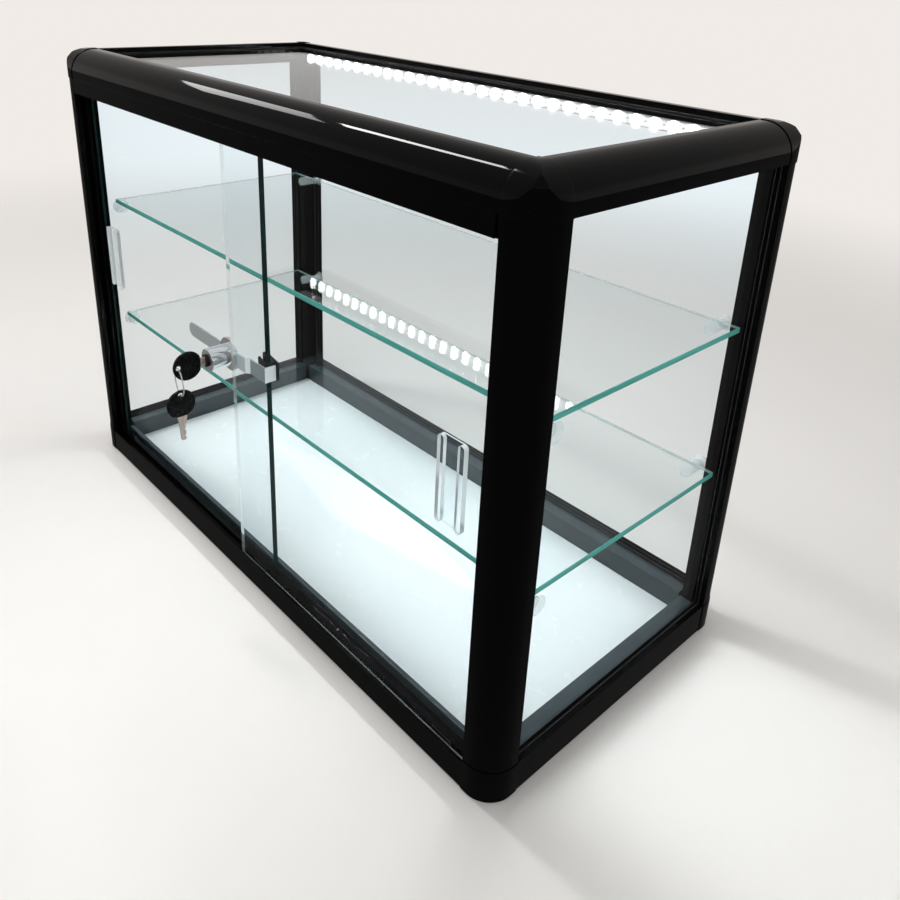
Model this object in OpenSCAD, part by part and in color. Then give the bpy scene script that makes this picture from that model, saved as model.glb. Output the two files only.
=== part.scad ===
// Countertop display case: a black extruded frame glazed on four sides, with two sliding
// glass doors, two glass shelves, a light strip and a ratchet lock with its two keys.
// Millimetres. The doors face -Y and the origin is in the middle of the underside.

/* [Case] */
// Width over the frame rails
case_w = 690; // [500:1:1100]
// Depth over the frame rails
case_d = 320; // [260:1:500]
// Height over the frame rails
case_h = 486; // [400:1:800]

/* [Frame] */
// Width of the frame section
frame_w = 30; // [29:0.5:36]
// Radius of the rounded outer edge of the posts and the top rails
edge_r = 25; // [10:0.5:25]
// Radius of the lower outer edge of the sill and the bottom rails
base_edge_r = 1.5; // [0.5:0.1:3]
// Setback of the inner legs behind the outer lip
leg_setback = 3; // [2:0.5:4]
// Wall beside the hollow core
core_wall = 1.5; // [1:0.1:2]
// Length of the connector spigots inside the rails and posts
spigot_l = 20; // [10:1:40]
// Clearance on each side of a spigot
spigot_gap = 0.1; // [0.05:0.05:0.3]
// How far the corner connectors stand proud of the rails
corner_proud = 0.7; // [0.2:0.1:1.5]
// Depth of the facet cut on each top corner
corner_facet = 2.2; // [1:0.1:4]

/* [Glazing] */
// Thickness of the fixed panes
pane_t = 5; // [3:0.5:6]
// How deep a pane sits in its slot
pane_bite = 9; // [6:0.5:10]
// Setback of a pane behind the frame face
pane_setback = 6; // [4:0.5:7]
// Thickness of the edge gasket
gasket_t = 1; // [0.5:0.1:1.2]

/* [Door track] */
// Thickness of the front lip of the track
track_lip = 2.5; // [2:0.1:3]
// Width of each door groove
groove_w = 7; // [6.6:0.1:7.5]
// Thickness of the divider between the grooves
track_divider = 6; // [5:0.1:7]
// Height of the track lips
track_h = 26; // [22:0.5:29]
// Depth of the lower grooves
groove_depth = 8; // [5:0.5:9]
// Thickness of the web over the upper grooves
track_web = 2.5; // [1.5:0.1:4]
// Thickness of the web between the lower grooves and the sill's core
sill_web = 1.6; // [1:0.1:2.5]

/* [Header] */
// Height of the fascia under the front top rail
fascia_h = 15; // [12:0.5:30]
// Thickness of the fascia
fascia_t = 1.5; // [1:0.1:1.8]
// Gap at the left end of the fascia
fascia_gap_left = 0.5; // [0.2:0.1:3]
// Gap at the right end of the fascia
fascia_gap_right = 3; // [0.2:0.1:5]

/* [Doors] */
// Thickness of the door glass
door_t = 5; // [4:0.1:5.4]
// Overlap of the two doors
door_overlap = 42; // [36:0.5:80]
// Sideways place of the middle of the overlap
door_meet_x = 9; // [-20:0.5:20]
// Gap between a closed door and its post
door_gap = 1; // [0.5:0.1:3]
// Room over a door for lifting it out
door_lift = 7; // [6.5:0.1:9]
// Thickness of a glide under the door
glide_t = 2; // [1:0.1:3]
// Length of a glide
glide_l = 22; // [10:1:40]
// Distance of a glide from the end of its door
glide_inset = 30; // [10:1:60]
// Height of the glide cheeks beside the glass
glide_cheek_h = 4; // [2:0.5:5]
// Running clearance of a glide in its groove
glide_gap = 0.1; // [0.05:0.05:0.3]

/* [Pulls] */
// Width of a pull
pull_w = 26; // [20:0.5:40]
// Height of a pull
pull_h = 70; // [50:1:120]
// Thickness of the base plate of a pull
pull_base = 1.2; // [0.8:0.1:1.4]
// Height of the pull ribs over the base plate
pull_rib = 3; // [1:0.1:3]
// Width of each rib
pull_rib_w = 6; // [3:0.5:9]
// Distance of a pull from the outer end of its door
pull_inset = 15; // [8:0.5:40]
// Height of the lower end of the pulls
pull_z = 225; // [100:1:280]

/* [Lock] */
// Height of the lock axis
lock_z = 238; // [150:1:300]
// Radius of the lock flange
flange_r = 16.5; // [14:0.1:18]
// Radius of the lock barrel
barrel_r = 11; // [9.5:0.1:12]
// Length of the barrel in front of the flange
barrel_l = 22; // [18:0.5:30]
// Radius of the turning plug
plug_r = 5.96; // [5:0.01:7]
// Running clearance round the plug
plug_gap = 0.04; // [0.01:0.01:0.1]
// How far the plug face stands in front of the barrel
plug_proud = 2.5; // [0.5:0.1:4]
// Gap between the barrel and the edge of the outer door
lock_gap = 3.5; // [0.3:0.1:6]
// Clearance between the flange and the back of the outer door
flange_gap = 0.3; // [0.2:0.05:0.4]
// Wall of the flange in front of the bar and behind it
flange_wall = 0.6; // [0.4:0.05:0.65]
// Thickness of the pawl
pawl_t = 1.2; // [0.8:0.1:2]
// How far the pawl reaches beyond the plug
pawl_reach = 1.6; // [1:0.1:2.5]
// Thickness of the ratchet bar
bar_t = 1.5; // [1:0.1:1.6]
// Height of the ratchet bar
bar_h = 15; // [12:0.5:18]
// Clearance of the bar in the lock
bar_gap = 0.2; // [0.1:0.05:0.25]
// Length of the bar to the left of the lock
bar_tail = 62; // [30:1:100]
// Pitch of the ratchet notches
notch_pitch = 3; // [2:0.1:5]
// Depth of the ratchet notches
notch_depth = 0.4; // [0.2:0.05:0.6]
// Thickness of the rubber liner in the hook
liner_t = 2.4; // [1:0.1:2.6]
// Length of the hook behind the inner door
hook_l = 12; // [8:0.5:20]
// Length of the hook in front of the inner door
hook_front_l = 25; // [16:0.5:40]
// Length of the joggle that sets the hook back from the bar
joggle_l = 4; // [3:0.5:8]

/* [Keys] */
// Diameter of a key head
key_head_d = 28; // [24:0.5:34]
// Thickness of a key head
key_head_t = 3.2; // [2.4:0.1:4]
// Distance of the flat on the head from its middle
key_flat = 12; // [9:0.5:12]
// Distance of the hole from the middle of the head
key_hole_out = 9; // [7:0.1:9.5]
// Radius of the hole at its waist
key_hole_r = 2.2; // [2:0.1:2.5]
// Length of the straight waist of the hole
key_hole_waist = 0.4; // [0.2:0.1:1]
// Length of a key blade beyond the head
blade_l = 25.5; // [20:0.5:40]
// Part of the blade that shows in front of the lock
blade_out = 5; // [3:0.5:8]
// Depth of the blade's seat in the head
blade_seat = 8; // [5:0.5:10]
// Thickness of a key blade
blade_t = 2; // [1.5:0.1:2.6]
// Width of a key blade at the head
blade_root = 10; // [7:0.1:11]
// Length of the shoulder where the blade narrows
blade_shoulder = 9; // [5:0.5:12]
// Width of a key blade at the end of the shoulder
blade_mid = 6.4; // [5:0.1:7]
// Width of a key blade at its tip
blade_tip = 5; // [3:0.1:6]
// Clearance of the blade in the keyway
keyway_gap = 0.08; // [0.03:0.01:0.2]
// Mean radius of the key ring
ring_r = 12.8; // [11:0.1:16]
// Wire diameter of the key ring
ring_wire = 1.4; // [1.1:0.1:1.8]
// Turn of the ring about the upright
ring_turn = -10; // [-15:1:15]

/* [Shelves] */
// Thickness of the shelves
shelf_t = 5; // [4:0.5:8]
// Height of the top of the upper shelf
upper_shelf_z = 316; // [260:1:350]
// Height of the top of the lower shelf
lower_shelf_z = 174; // [100:1:220]
// Distance of the shelves behind the frame front
shelf_front = 40; // [36:0.5:100]
// Gap between the shelves and the rear posts
shelf_rear_gap = 5; // [2:0.5:20]
// Gap between the shelf ends and the side cups
shelf_side_gap = 0.5; // [0.2:0.1:2]
// Radius of a suction cup
cup_r = 8.5; // [7:0.1:10]
// Thickness of a suction cup
cup_t = 4; // [3:0.1:6]
// Radius of a support pin
pin_r = 5.5; // [3:0.1:6]
// How far a pin reaches under its shelf
pin_reach = 9; // [5:0.5:20]
// Distance of the rear cups from the edge of the rear gasket
cup_rear_in = 0.5; // [0.3:0.1:60]
// Distance of the front cups behind the shelf edge
cup_front_in = 6.5; // [6:0.5:40]

/* [Base deck] */
// Thickness of the deck panel
deck_t = 5; // [4:0.5:8]
// Clearance between the deck and the rails
deck_gap = 0.3; // [0.1:0.1:0.6]
// Thickness of the tongue that holds the deck
tongue_t = 1.6; // [1:0.1:1.8]
// Height of the underside of the tongue
tongue_z = 1.2; // [0.8:0.1:1.4]
// How far the tongue reaches into the rails
tongue_l = 3; // [1.5:0.1:4]
// Clearance over and under the tongue
tongue_gap = 0.1; // [0.05:0.05:0.2]

/* [Lights] */
// Spacing of the light chips
led_pitch = 19.1; // [12:0.1:40]
// Width of a light chip
led_w = 5; // [3:0.1:6]
// Height of a light chip over its board
led_t = 1.4; // [0.8:0.1:2]
// Width of the light board
board_w = 8; // [6.5:0.1:9]
// Thickness of the light board
board_t = 0.5; // [0.3:0.1:1]
// Wall of the light channel
channel_wall = 1; // [0.6:0.1:1.4]
// Height of the light channel over the underside of the rear top rail
channel_lift = 0.5; // [0.2:0.1:2]
// Distance of the light channel from the rear posts
channel_end = 14; // [4:0.5:40]
// Diameter of the lead through the rear rail
lead_d = 2.4; // [1.5:0.1:4]
// Outer diameter of the power socket
socket_d = 6; // [5:0.1:6.2]
// Bore of the power socket
socket_bore = 3.4; // [2.5:0.1:4]
// Wall between the power socket and the slot of the rear pane
socket_wall = 0.5; // [0.3:0.1:2]
// Distance of the power socket from the right side
socket_in = 70; // [60:1:200]

/* [Hidden] */
$fn = 64;
eps = 0.5;

// Outer faces of the frame
left_x = -case_w / 2;
front_y = -case_d / 2;
// Frame section, measured inwards from its outer faces
inner_w = frame_w - leg_setback;
edge = min(edge_r, inner_w - core_wall);
slot_lo = pane_setback - gasket_t;
slot_w = pane_t + 2 * gasket_t;
slot_hi = slot_lo + slot_w;
slot_bottom = frame_w - pane_bite - gasket_t;
core_lo = slot_hi + core_wall;
core_w = inner_w - core_wall - core_lo;
spigot_w = core_w - 2 * spigot_gap;
// The sill's core lies lower, between the deck groove and the door grooves
sill_core_z = tongue_z + tongue_t + tongue_gap + core_wall;
sill_core_h = track_h - groove_depth - sill_web - sill_core_z;
post_l = case_h - 2 * frame_w;
rail_x = case_w - 2 * frame_w;
rail_y = case_d - 2 * frame_w;
// Inner faces of the panes and of the frame
pane_in = pane_setback + pane_t;
inside_x = case_w / 2 - inner_w;
inside_y = case_d / 2 - inner_w;
// Doors: the right door runs in the outer groove, the left door in the inner one
groove_floor = track_h - groove_depth;
outer_y = front_y + track_lip + groove_w / 2;
inner_y = outer_y + groove_w + track_divider;
door_bottom = groove_floor + glide_t + glide_gap;
door_top = case_h - frame_w - track_web - door_lift;
door_h = door_top - door_bottom;
jamb_x = case_w / 2 - frame_w;
right_door_x0 = door_meet_x - door_overlap / 2;
left_door_x1 = door_meet_x + door_overlap / 2;
right_door_l = jamb_x - door_gap - right_door_x0;
left_door_l = left_door_x1 + jamb_x - door_gap;
// Lock: the bar and the flange lie between the doors, and the bar hooks round the inner one
lock_x = right_door_x0 - lock_gap - barrel_r;
flange_y = outer_y + door_t / 2 + flange_gap;
lock_slot_y0 = flange_y + flange_wall;
bar_y0 = lock_slot_y0 + bar_gap;
bar_y1 = bar_y0 + bar_t;
lock_back_y = bar_y1 + bar_gap + flange_wall;
barrel_y = flange_y - barrel_l;
plug_y = barrel_y - plug_proud;
pawl_y1 = lock_slot_y0 - bar_gap;
pawl_y0 = pawl_y1 - pawl_t;
pawl_r = plug_r + pawl_reach;
pocket_r = pawl_r + 2 * bar_gap;
hook_front = inner_y - door_t / 2 - liner_t;
hook_back = inner_y + door_t / 2 + liner_t;
hook_end = left_door_x1 + liner_t;
bend_x = hook_end + bar_t - hook_front_l;
// Keys: one in the lock, the spare on the ring under it
blade_in = blade_l - blade_out;
blade_w_at_plug = blade_root + (blade_mid - blade_root) * blade_out / blade_shoulder;
key_y = plug_y - blade_out - key_flat;
key_hole_y = key_y - key_hole_out;
ring_drop = ring_wire / 2;
ring_z = lock_z - ring_drop - ring_r;
spare_hole_z = ring_z - ring_r - ring_drop;
spare_z = spare_hole_z - key_hole_out;
// Shelves and their supports
shelf_y0 = front_y + shelf_front;
shelf_y1 = inside_y - shelf_rear_gap;
shelf_end = case_w / 2 - pane_in - cup_t - shelf_side_gap;
// Light strip on the inner face of the rear top rail
strip_l = 2 * (inside_x - channel_end);
led_count = floor((strip_l - 2 * channel_wall - led_w) / led_pitch) + 1;
channel_h = board_w + 2 * channel_wall;
channel_d = channel_wall + board_t + led_t / 2;
channel_z = case_h - inner_w + channel_lift;
board_y = inside_y - channel_wall - board_t;
board_z = channel_z + channel_wall;
socket_x = case_w / 2 - socket_in;
socket_top = slot_bottom - socket_wall - socket_d;
socket_z = case_h - socket_top - socket_d / 2;
socket_skin = edge - sqrt(pow(edge, 2) - pow(edge - socket_top, 2));

gloss_black = [0.02, 0.02, 0.025];
clear_glass = [0.8, 0.92, 0.88, 0.3];
dark_rubber = [0.06, 0.06, 0.06];
bright_chrome = [0.82, 0.83, 0.85];
nickel = [0.72, 0.71, 0.68];
clear_plastic = [0.88, 0.92, 0.95, 0.5];
white_panel = [0.95, 0.95, 0.93];

// A rectangle whose corner at the origin is rounded
module rounded_corner(a, b, r) {
    difference() {
        square([a, b]);
        difference() {
            translate([-1, -1]) square(r + 1);
            translate([r, r]) circle(r);
        }
    }
}

// The hollow core that takes a connector's spigot
module core_cut(z = core_lo, h = core_w) {
    translate([core_lo, z]) square([core_w, h]);
}

// Section of the posts and top rails, with a pane slot on both inner sides
module frame_section() {
    difference() {
        rounded_corner(frame_w, frame_w, edge);
        translate([slot_bottom, slot_lo]) square([frame_w, slot_w]);
        translate([slot_lo, slot_bottom]) square([slot_w, frame_w]);
        translate([inner_w, slot_hi - eps]) square(frame_w);
        translate([slot_hi - eps, inner_w]) square(frame_w);
        core_cut();
    }
}

// The groove in the lower rails that holds the deck's tongue
module tongue_groove() {
    translate([inner_w - tongue_l - deck_gap, tongue_z - tongue_gap])
        square([frame_w, tongue_t + 2 * tongue_gap]);
}

// Section of the rear and side bottom rails, with one pane slot on top
module bottom_section() {
    difference() {
        rounded_corner(inner_w, frame_w, base_edge_r);
        translate([slot_lo, slot_bottom]) square([slot_w, frame_w]);
        translate([slot_hi - eps, inner_w]) square(frame_w);
        core_cut();
        tongue_groove();
    }
}

// Section of the sill, with the two door grooves on top
module sill_section() {
    difference() {
        rounded_corner(inner_w, track_h, base_edge_r);
        for (y = [outer_y, inner_y])
            translate([y - front_y - groove_w / 2, groove_floor]) square([groove_w, frame_w]);
        core_cut(sill_core_z, sill_core_h);
        tongue_groove();
    }
}

// Sections run along X at the front, along Y at the left and up the front left corner
module along_x(len) {
    translate([-len / 2, front_y, 0]) rotate([90, 0, 90]) linear_extrude(len) children();
}

module along_y(len) {
    translate([left_x, len / 2, 0]) rotate([90, 0, 0]) linear_extrude(len) children();
}

module upright() {
    translate([left_x, front_y, frame_w]) linear_extrude(post_l) children();
}

// Copies to the right, the rear and the top: each flag is 0 or 1
module placed(right = 0, rear = 0, top = 0) {
    translate([0, 0, top * case_h])
        mirror([right, 0, 0]) mirror([0, rear, 0]) mirror([0, 0, top]) children();
}

module post(right, rear) {
    color(gloss_black) placed(right, rear) upright() frame_section();
}

module top_rail_x(rear) {
    color(gloss_black) placed(0, rear, 1) along_x(rail_x) frame_section();
}

module top_rail_y(right) {
    color(gloss_black) placed(right, 0, 1) along_y(rail_y) frame_section();
}

module front_left_post() {
    post(0, 0);
}

module front_right_post() {
    post(1, 0);
}

module rear_left_post() {
    post(0, 1);
}

module rear_right_post() {
    post(1, 1);
}

module top_front_rail() {
    top_rail_x(0);
}

// The rear top rail is drilled for the light strip's lead and its socket
module top_rear_rail() {
    color(gloss_black) difference() {
        top_rail_x(1);
        at_socket() translate([0, 0, -frame_w]) cylinder(d = lead_d + 2 * spigot_gap, h = frame_w);
        at_socket() translate([0, 0, -core_lo - core_w / 2]) cylinder(d = socket_d, h = frame_w);
    }
}

module top_left_rail() {
    top_rail_y(0);
}

module top_right_rail() {
    top_rail_y(1);
}

module front_sill_track() {
    color(gloss_black) along_x(rail_x) sill_section();
}

module bottom_rear_rail() {
    color(gloss_black) placed(0, 1) along_x(rail_x) bottom_section();
}

module bottom_left_rail() {
    color(gloss_black) along_y(rail_y) bottom_section();
}

module bottom_right_rail() {
    color(gloss_black) placed(1) along_y(rail_y) bottom_section();
}

// A block with a broad radius on its upright edge and radius r on its two other outer edges
module corner_body(r, under) {
    side = frame_w + corner_proud;
    height = frame_w + under;
    translate([-corner_proud, -corner_proud, -under]) intersection() {
        linear_extrude(height) rounded_corner(side, side, edge + corner_proud);
        rotate([90, 0, 90]) linear_extrude(side) rounded_corner(side, height, r);
        translate([0, side, 0]) rotate([90, 0, 0]) linear_extrude(side) rounded_corner(side, height, r);
    }
}

// The facet on a top corner, where its three broad radii meet
module top_facet() {
    apex = 3 * (edge + corner_proud) * (1 - sqrt(0.5)) - 3 * corner_proud;
    rotate([0, acos(1 / sqrt(3)), 45])
        translate([-frame_w, -frame_w, apex / sqrt(3) + corner_facet - 2 * frame_w])
            cube(2 * frame_w);
}

// Room in a connector for the pane corners and behind the inner legs
module corner_cuts(bottom) {
    translate([slot_lo, slot_bottom, slot_bottom]) cube([slot_w, frame_w, frame_w]);
    translate([slot_bottom, slot_lo, slot_bottom]) cube([frame_w, slot_w, frame_w]);
    if (!bottom)
        translate([slot_bottom, slot_bottom, slot_lo]) cube([frame_w, frame_w, slot_w]);
    translate([inner_w, inner_w, bottom ? -eps : slot_hi - eps]) cube([frame_w, frame_w, 2 * frame_w]);
    translate([slot_hi - eps, inner_w, inner_w]) cube([2 * frame_w, frame_w, frame_w]);
    translate([inner_w, slot_hi - eps, inner_w]) cube([frame_w, 2 * frame_w, frame_w]);
}

// A connector with one spigot for each of the three extrusions that meet in it
module corner(right, rear, top) {
    spigot_0 = core_lo + spigot_gap;
    reach = frame_w + spigot_l - spigot_0;
    sill = rear == 0 && top == 0;
    x_spigot_z = sill ? sill_core_z + spigot_gap : spigot_0;
    x_spigot_h = sill ? sill_core_h - 2 * spigot_gap : spigot_w;
    color(gloss_black) placed(right, rear, top) translate([left_x, front_y, 0]) {
        difference() {
            corner_body(top == 1 ? edge + corner_proud : base_edge_r, top * corner_proud);
            if (top == 1) top_facet();
            corner_cuts(top == 0);
        }
        translate([spigot_0, spigot_0, x_spigot_z]) cube([reach, spigot_w, x_spigot_h]);
        translate([spigot_0, spigot_0, spigot_0]) cube([spigot_w, reach, spigot_w]);
        translate([spigot_0, spigot_0, spigot_0]) cube([spigot_w, spigot_w, reach]);
    }
}

// Panes: half sizes to the edge that sits in the slots
module flat_pane(grow = 0, trim = 0) {
    w = case_w - 2 * (slot_bottom + gasket_t) + 2 * grow - 2 * trim;
    d = case_d - 2 * (slot_bottom + gasket_t) + 2 * grow - 2 * trim;
    thick = pane_t + 2 * grow + 2 * trim;
    translate([-w / 2, -d / 2, case_h - pane_setback - pane_t - grow - trim]) cube([w, d, thick]);
}

module back_pane(grow = 0, trim = 0) {
    w = case_w - 2 * (slot_bottom + gasket_t) + 2 * grow - 2 * trim;
    h = case_h - 2 * (slot_bottom + gasket_t) + 2 * grow - 2 * trim;
    thick = pane_t + 2 * grow + 2 * trim;
    translate([-w / 2, -front_y - pane_in - grow - trim, (case_h - h) / 2]) cube([w, thick, h]);
}

module side_pane(grow = 0, trim = 0) {
    d = case_d - 2 * (slot_bottom + gasket_t) + 2 * grow - 2 * trim;
    h = case_h - 2 * (slot_bottom + gasket_t) + 2 * grow - 2 * trim;
    thick = pane_t + 2 * grow + 2 * trim;
    translate([left_x + pane_setback - grow - trim, -d / 2, (case_h - h) / 2]) cube([thick, d, h]);
}

module top_glass() {
    color(clear_glass) flat_pane();
}

module rear_glass() {
    color(clear_glass) back_pane();
}

module left_glass() {
    color(clear_glass) side_pane();
}

module right_glass() {
    color(clear_glass) placed(1) side_pane();
}

// Gaskets: a channel round the edge of each pane that fills its slot
module top_gasket() {
    color(dark_rubber) difference() {
        flat_pane(grow = gasket_t);
        flat_pane();
        flat_pane(trim = pane_bite);
    }
}

module rear_gasket() {
    color(dark_rubber) difference() {
        back_pane(grow = gasket_t);
        back_pane();
        back_pane(trim = pane_bite);
    }
}

module left_gasket() {
    color(dark_rubber) difference() {
        side_pane(grow = gasket_t);
        side_pane();
        side_pane(trim = pane_bite);
    }
}

module right_gasket() {
    placed(1) left_gasket();
}

// The deck lies flush with the underside and is held by a tongue along its four edges
module base_deck() {
    half_x = inside_x - deck_gap;
    half_y = inside_y - deck_gap;
    tongue_x = rail_x - 2 * spigot_gap;
    tongue_y = rail_y - 2 * spigot_gap;
    color(white_panel) {
        translate([-half_x, -half_y, 0]) cube([2 * half_x, 2 * half_y, deck_t]);
        translate([-tongue_x / 2, -half_y - tongue_l, tongue_z])
            cube([tongue_x, 2 * (half_y + tongue_l), tongue_t]);
        translate([-half_x - tongue_l, -tongue_y / 2, tongue_z])
            cube([2 * (half_x + tongue_l), tongue_y, tongue_t]);
    }
}

module shelf(z) {
    color(clear_glass) translate([-shelf_end, shelf_y0, z - shelf_t])
        cube([2 * shelf_end, shelf_y1 - shelf_y0, shelf_t]);
}

module upper_shelf() {
    shelf(upper_shelf_z);
}

module lower_shelf() {
    shelf(lower_shelf_z);
}

// Support places: two on the rear pane and one on each side pane, under each shelf
module at_rear_support(right, z) {
    placed(right) translate([cup_r + cup_rear_in - jamb_x, -front_y - pane_in, z - shelf_t - pin_r])
        rotate([90, 0, 0]) children();
}

module at_side_support(right, z) {
    placed(right) translate([left_x + pane_in, shelf_y0 + cup_front_in, z - shelf_t - pin_r])
        rotate([0, 90, 0]) children();
}

// A cup: a thin rim on the glass that rises to a hub
module suction_cup() {
    rim = cup_t / 4;
    rotate_extrude() polygon([
        [0, 0], [cup_r, 0], [cup_r, rim], [cup_r - rim, 2 * rim], [pin_r + rim / 2, 3 * rim],
        [pin_r + rim / 2, cup_t], [0, cup_t]
    ]);
}

// A pin: a stub with a shallow groove before its end
module support_pin(len) {
    groove = pin_r / 8;
    translate([0, 0, cup_t]) rotate_extrude() polygon([
        [0, 0], [pin_r, 0], [pin_r, len - 3 * groove], [pin_r - groove, len - 2 * groove],
        [pin_r - groove, len], [0, len]
    ]);
}

module shelf_suction_cups() {
    color(clear_plastic) for (z = [upper_shelf_z, lower_shelf_z], right = [0, 1]) {
        at_rear_support(right, z) suction_cup();
        at_side_support(right, z) suction_cup();
    }
}

module shelf_support_pins() {
    rear_l = -front_y - pane_in - cup_t - shelf_y1 + pin_reach;
    side_l = shelf_side_gap + pin_reach;
    color(clear_plastic) for (z = [upper_shelf_z, lower_shelf_z], right = [0, 1]) {
        at_rear_support(right, z) support_pin(rear_l);
        at_side_support(right, z) support_pin(side_l);
    }
}

// Light strip: an open channel on the rear top rail, a board in it and a row of chips
module led_channel() {
    color(nickel) difference() {
        translate([-strip_l / 2, inside_y - channel_d, channel_z]) cube([strip_l, channel_d, channel_h]);
        translate([-strip_l / 2 + channel_wall, inside_y - channel_wall - channel_h, board_z])
            cube([strip_l - 2 * channel_wall, channel_h, board_w]);
        at_socket() translate([0, 0, -frame_w]) cylinder(d = lead_d + 2 * spigot_gap, h = frame_w);
    }
}

module led_board() {
    board_l = strip_l - 2 * channel_wall;
    color(white_panel) translate([-board_l / 2, board_y, board_z]) cube([board_l, board_t, board_w]);
}

module led_chips() {
    color("white") for (i = [0:led_count - 1])
        translate([(i - (led_count - 1) / 2) * led_pitch, board_y, board_z + board_w / 2])
            rotate([90, 0, 0]) led_chip();
}

// A chip: a square body with a shallow round lens
module led_chip() {
    body_t = led_t / 2;
    translate([-led_w / 2, -led_w / 2, 0]) cube([led_w, led_w, body_t]);
    translate([0, 0, body_t]) cylinder(d1 = led_w * 0.8, d2 = led_w * 0.6, h = led_t - body_t);
}

// The socket's axis runs along Y through the rear top rail, with local +Z to the rear
module at_socket() {
    translate([socket_x, -front_y, socket_z]) rotate([-90, 0, 0]) children();
}

module led_lead() {
    color(dark_rubber) at_socket() translate([0, 0, -inner_w - channel_wall])
        cylinder(d = lead_d, h = channel_wall + core_wall + core_w);
}

module power_socket() {
    depth = core_lo - socket_skin;
    color(dark_rubber) at_socket() translate([0, 0, -core_lo]) difference() {
        cylinder(d = socket_d, h = depth);
        translate([0, 0, core_wall]) cylinder(d = socket_bore, h = depth);
    }
}

// The fascia closes the gap under the front top rail
module door_fascia() {
    color(gloss_black)
        translate([-jamb_x + fascia_gap_left, front_y, case_h - frame_w - fascia_h])
            cube([2 * jamb_x - fascia_gap_left - fascia_gap_right, fascia_t, fascia_h]);
}

// The upper track hangs behind the fascia, with its grooves over those of the sill
module upper_door_track() {
    color(gloss_black) difference() {
        translate([-jamb_x, front_y + fascia_t, case_h - frame_w - fascia_h])
            cube([2 * jamb_x, inner_w - fascia_t, fascia_h]);
        for (y = [outer_y, inner_y])
            translate([-case_w, y - groove_w / 2, case_h - frame_w - fascia_h - eps])
                cube([2 * case_w, groove_w, fascia_h - track_web + eps]);
    }
}

module left_door_glass() {
    color(clear_glass) translate([left_door_x1 - left_door_l, inner_y - door_t / 2, door_bottom])
        cube([left_door_l, door_t, door_h]);
}

module right_door_glass() {
    color(clear_glass) translate([right_door_x0, outer_y - door_t / 2, door_bottom])
        cube([right_door_l, door_t, door_h]);
}

// A pull: a thin plate with two round-ended ribs, its back on the glass
module pull() {
    rib_x = pull_w / 2 - pull_rib_w / 2;
    half_h = pull_h / 2;
    linear_extrude(pull_base) {
        square([pull_w - pull_rib_w, pull_h], center = true);
        square([pull_w, pull_h - pull_rib_w], center = true);
        for (x = [-rib_x, rib_x], y = [-1, 1])
            translate([x, y * (half_h - pull_rib_w / 2)]) circle(d = pull_rib_w);
    }
    for (x = [-rib_x, rib_x])
        translate([x, 0, pull_base]) linear_extrude(pull_rib) {
            square([pull_rib_w, pull_h - pull_rib_w], center = true);
            for (y = [-1, 1])
                translate([0, y * (half_h - pull_rib_w / 2)]) circle(d = pull_rib_w);
        }
}

module left_door_pull() {
    color(clear_plastic)
        translate([-jamb_x + door_gap + pull_inset + pull_w / 2, inner_y - door_t / 2, pull_z + pull_h / 2])
            rotate([90, 0, 0]) pull();
}

module right_door_pull() {
    color(clear_plastic)
        translate([jamb_x - door_gap - pull_inset - pull_w / 2, outer_y - door_t / 2, pull_z + pull_h / 2])
            rotate([90, 0, 0]) pull();
}

// A glide: a shoe under the glass with low cheeks on both sides of it
module glide(x, y) {
    w = groove_w - 2 * glide_gap;
    translate([x - glide_l / 2, y - w / 2, groove_floor + glide_gap]) difference() {
        cube([glide_l, w, glide_t + glide_cheek_h]);
        translate([-eps, w / 2 - door_t / 2, glide_t])
            cube([glide_l + 2 * eps, door_t, glide_cheek_h + eps]);
    }
}

module left_door_glides() {
    color("ivory") {
        glide(left_door_x1 - glide_inset, inner_y);
        glide(left_door_x1 - left_door_l + glide_inset, inner_y);
    }
}

module right_door_glides() {
    color("ivory") {
        glide(right_door_x0 + glide_inset, outer_y);
        glide(right_door_x0 + right_door_l - glide_inset, outer_y);
    }
}

// The bar is one bent strip: a straight ratchet, a joggle and a hook round the inner door
module bar_outline() {
    tail = lock_x - flange_r - bar_tail;
    polygon([
        [tail, bar_y0], [bend_x - joggle_l, bar_y0], [bend_x, hook_front - bar_t],
        [hook_end + bar_t, hook_front - bar_t], [hook_end + bar_t, hook_back + bar_t],
        [hook_end - hook_l, hook_back + bar_t], [hook_end - hook_l, hook_back],
        [hook_end, hook_back], [hook_end, hook_front], [bend_x - bar_t / 2, hook_front],
        [bend_x - joggle_l - bar_t / 2, bar_y1], [tail, bar_y1]
    ]);
}

module lock_bar() {
    tail = lock_x - flange_r - bar_tail;
    notches = ceil(2 * flange_r / notch_pitch);
    color(bright_chrome) difference() {
        translate([0, 0, lock_z - bar_h / 2]) linear_extrude(bar_h) bar_outline();
        difference() {
            translate([tail - eps, bar_y0 - eps, lock_z - bar_h])
                cube([bar_h / 2 + eps, bar_t + 2 * eps, 2 * bar_h]);
            translate([tail + bar_h / 2, bar_y0 - 2 * eps, lock_z]) rotate([-90, 0, 0])
                cylinder(d = bar_h, h = bar_t + 4 * eps);
        }
        for (i = [0:notches - 1])
            translate([lock_x - flange_r + i * notch_pitch, bar_y0 - eps, lock_z - bar_h / 4])
                cube([notch_pitch / 3, notch_depth + eps, bar_h / 2]);
    }
}

module hook_liner() {
    leg = hook_l - liner_t;
    color(dark_rubber) translate([0, 0, lock_z - bar_h / 2]) linear_extrude(bar_h) difference() {
        translate([hook_end - liner_t - leg, hook_front]) square([leg + liner_t, hook_back - hook_front]);
        translate([hook_end - 2 * hook_l, hook_front + liner_t])
            square([2 * hook_l - liner_t, hook_back - hook_front - 2 * liner_t]);
    }
}

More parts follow.
